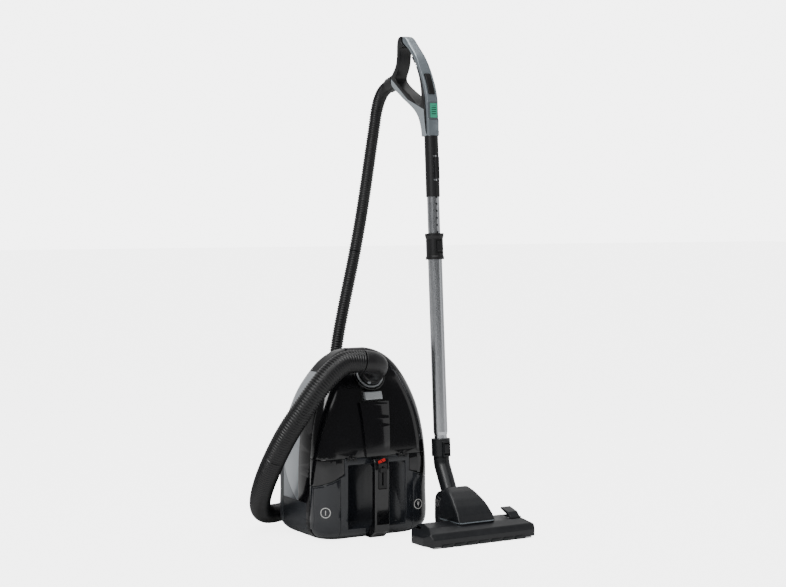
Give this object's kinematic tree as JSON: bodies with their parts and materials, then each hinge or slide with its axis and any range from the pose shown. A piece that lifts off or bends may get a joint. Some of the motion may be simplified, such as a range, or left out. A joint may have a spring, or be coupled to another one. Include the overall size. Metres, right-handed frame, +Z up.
{
  "type": "canister vacuum cleaner",
  "caption": "Canister vacuum cleaner parked on its rear end, with corrugated hose, telescopic metal wand, loop handle with controls and floor nozzle.",
  "frame": {"origin": "on the floor, in the middle of the canister's rear end", "axes": "+Z up along the parked canister and the wand; -Y is the lid's side, +Y the wheels' side; the wand stands on the +X side"},
  "size_m": [0.603, 0.5254, 1.208],
  "materials": {
    "gloss_black": "high gloss",
    "satin_black": "satin",
    "dark_grey": "fine matte grain",
    "silver": "silver paint",
    "handle_silver": "metallic lacquer",
    "tube_metal": "anodised, drawn",
    "hose_black": "semi-gloss",
    "rubber_black": "matte",
    "steel": "plain",
    "chrome_ring": "polished",
    "screen": "green display",
    "filter_cloth": "felt",
    "board": "circuit board",
    "motor_metal": "plain"
  },
  "bodies": {
    "canister": {"rear_cover": "gloss_black", "corner_covers": "gloss_black", "mid_frame": "gloss_black", "side_panels": "silver", "base_shell": "dark_grey", "housing_screws": "steel", "axles": "steel", "exhaust_filter": "filter_cloth", "cord_outlet": "rubber_black", "carry_handle": "gloss_black", "handle_panel": "satin_black", "lid_hinges": "satin_black", "motor_housing": "satin_black", "motor": "motor_metal", "motor_seals": "rubber_black", "motor_filter": "filter_cloth", "dust_bag": "filter_cloth", "control_board": "board", "hose_lower": "hose_black", "hose_middle": "hose_black", "hose_upper": "hose_black"},
    "lid_body": {"lid": "gloss_black", "inlet_boss": "gloss_black", "inlet_ring": "chrome_ring", "lid_spine": "gloss_black"},
    "catch": {"lid_catch": "silver"},
    "elbow": {"hose_elbow": "satin_black"},
    "elbow_key": {"elbow_button": "dark_grey"},
    "power_key": {"power_pedal": "gloss_black"},
    "rewind_key": {"rewind_pedal": "gloss_black"},
    "slider": {"power_slider": "satin_black"},
    "filter_door": {"filter_cover": "dark_grey"},
    "wheel_left": {"rear_wheel_left": "rubber_black"},
    "wheel_right": {"rear_wheel_right": "rubber_black"},
    "castor": {"castor_fork": "dark_grey"},
    "castor_roller": {"castor_wheel": "rubber_black"},
    "rotor": {"impeller": "satin_black", "motor_shaft": "steel"},
    "reel": {"cord_reel": "satin_black"},
    "wand": {"outer_tube": "tube_metal", "tube_collar": "satin_black"},
    "release": {"collar_release": "satin_black"},
    "handle": {"inner_tube": "tube_metal", "handle_sleeve": "satin_black", "handle_frame": "satin_black", "handle_spine": "handle_silver", "display": "screen"},
    "rocker": {"mode_rocker": "satin_black"},
    "latch": {"tube_latch": "satin_black"},
    "cuff": {"hose_cuff": "satin_black"},
    "neck": {"neck_collar": "satin_black", "neck_pipe": "satin_black"},
    "neck_key": {"neck_button": "satin_black"},
    "nozzle": {"nozzle_housing": "satin_black", "hump_cover": "satin_black", "sole_plate": "steel", "nozzle_pins": "steel"},
    "brush": {"brush_strip": "rubber_black"},
    "nozzle_key": {"nozzle_pedal": "satin_black"},
    "nozzle_rollers": {"nozzle_wheels": "rubber_black"}
  },
  "joints": [
    {"name": "lid_open", "type": "hinge", "parent": "canister", "child": "lid_body", "pos_m": [0, -0.1126, 0.195], "axis": [1, 0, 0], "range_deg": [0, 70], "deforming": ["hose_lower"]},
    {"name": "catch_press", "type": "slide", "parent": "lid_body", "child": "catch", "axis": [0, 1, 0], "range_m": [0, 0.0025], "stiffness_N_per_m": 400},
    {"name": "hose_swivel", "type": "hinge", "parent": "lid_body", "child": "elbow", "pos_m": [0, -0.075, 0.388], "axis": [0, -0.8829, 0.4695], "range_deg": [-20, 20], "deforming": ["hose_lower"]},
    {"name": "elbow_press", "type": "slide", "parent": "elbow", "child": "elbow_key", "axis": [0.4493, 0.4194, 0.7888], "range_m": [0, 0.0012], "stiffness_N_per_m": 400},
    {"name": "power_press", "type": "slide", "parent": "canister", "child": "power_key", "axis": [0, 1, 0], "range_m": [0, 0.005], "stiffness_N_per_m": 600},
    {"name": "rewind_press", "type": "slide", "parent": "canister", "child": "rewind_key", "axis": [0, 1, 0], "range_m": [0, 0.005], "stiffness_N_per_m": 600},
    {"name": "suction_slide", "type": "slide", "parent": "canister", "child": "slider", "axis": [0, 0, 1], "range_m": [-0.03, 0.004]},
    {"name": "filter_open", "type": "hinge", "parent": "canister", "child": "filter_door", "pos_m": [0, 0.116, 0.0628], "axis": [-1, 0, 0], "range_deg": [0, 90]},
    {"name": "wheel_left_spin", "type": "hinge", "parent": "canister", "child": "wheel_left", "pos_m": [-0.121, 0.088, 0.066], "axis": [1, 0, 0], "continuous": true},
    {"name": "wheel_right_spin", "type": "hinge", "parent": "canister", "child": "wheel_right", "pos_m": [0.121, 0.088, 0.066], "axis": [1, 0, 0], "continuous": true},
    {"name": "castor_swivel", "type": "hinge", "parent": "canister", "child": "castor", "pos_m": [0, 0.094, 0.318], "axis": [0, 1, 0], "continuous": true},
    {"name": "castor_spin", "type": "hinge", "parent": "castor", "child": "castor_roller", "pos_m": [0, 0.115, 0.31], "axis": [1, 0, 0], "continuous": true},
    {"name": "rotor_spin", "type": "hinge", "parent": "canister", "child": "rotor", "pos_m": [0, 0.014, 0.14], "axis": [0, 0, 1], "continuous": true},
    {"name": "reel_spin", "type": "hinge", "parent": "canister", "child": "reel", "pos_m": [-0.104, 0, 0.074], "axis": [0, 1, 0], "continuous": true},
    {"name": "wand_lean", "type": "hinge", "parent": "canister", "child": "wand", "pos_m": [0.18, -0.16, 0.078], "axis": [-1, 0, 0], "range_deg": [0, 40], "deforming": ["hose_upper", "hose_middle"]},
    {"name": "nozzle_swivel", "type": "hinge", "parent": "wand", "child": "neck", "pos_m": [0.18, -0.11022, 0.20504], "axis": [0, 0.061, 0.9981], "range_deg": [-10, 60]},
    {"name": "nozzle_tilt", "type": "hinge", "parent": "neck", "child": "nozzle", "pos_m": [0.18, -0.16, 0.078], "axis": [-1, 0, 0], "range_deg": [-40, 0]},
    {"name": "neck_release", "type": "slide", "parent": "neck", "child": "neck_key", "axis": [0, -0.061, -0.9981], "range_m": [0, 0.0025], "stiffness_N_per_m": 400},
    {"name": "brush_lift", "type": "slide", "parent": "nozzle", "child": "brush", "axis": [0, 0, 1], "range_m": [0, 0.004]},
    {"name": "nozzle_press", "type": "hinge", "parent": "nozzle", "child": "nozzle_key", "pos_m": [0.295, -0.254, 0.044], "axis": [-1, 0, 0], "range_deg": [0, 6], "stiffness_Nm_per_rad": 0.4},
    {"name": "nozzle_roll", "type": "hinge", "parent": "nozzle", "child": "nozzle_rollers", "pos_m": [0.18, -0.16, 0.014], "axis": [1, 0, 0], "continuous": true},
    {"name": "telescope", "type": "slide", "parent": "wand", "child": "handle", "axis": [0, 0.061, 0.9981], "range_m": [-0.06, 0.2], "deforming": ["hose_upper"]},
    {"name": "collar_slide", "type": "slide", "parent": "wand", "child": "release", "axis": [0, -0.061, -0.9981], "range_m": [0, 0.003], "stiffness_N_per_m": 400},
    {"name": "latch_press", "type": "slide", "parent": "handle", "child": "latch", "axis": [0, 0.9981, -0.061], "range_m": [0, 0.002], "stiffness_N_per_m": 400},
    {"name": "rocker_press", "type": "slide", "parent": "handle", "child": "rocker", "axis": [0, 0.9131, -0.4076], "range_m": [0, 0.0015], "stiffness_N_per_m": 400},
    {"name": "cuff_spin", "type": "hinge", "parent": "handle", "child": "cuff", "pos_m": [0.18, 0.09294, 1.10231], "axis": [0, 0.9658, -0.2594], "continuous": true}
  ],
  "couplings": [
    {"joint": "nozzle_tilt", "follows": "wand_lean", "ratio": -1}
  ]
}
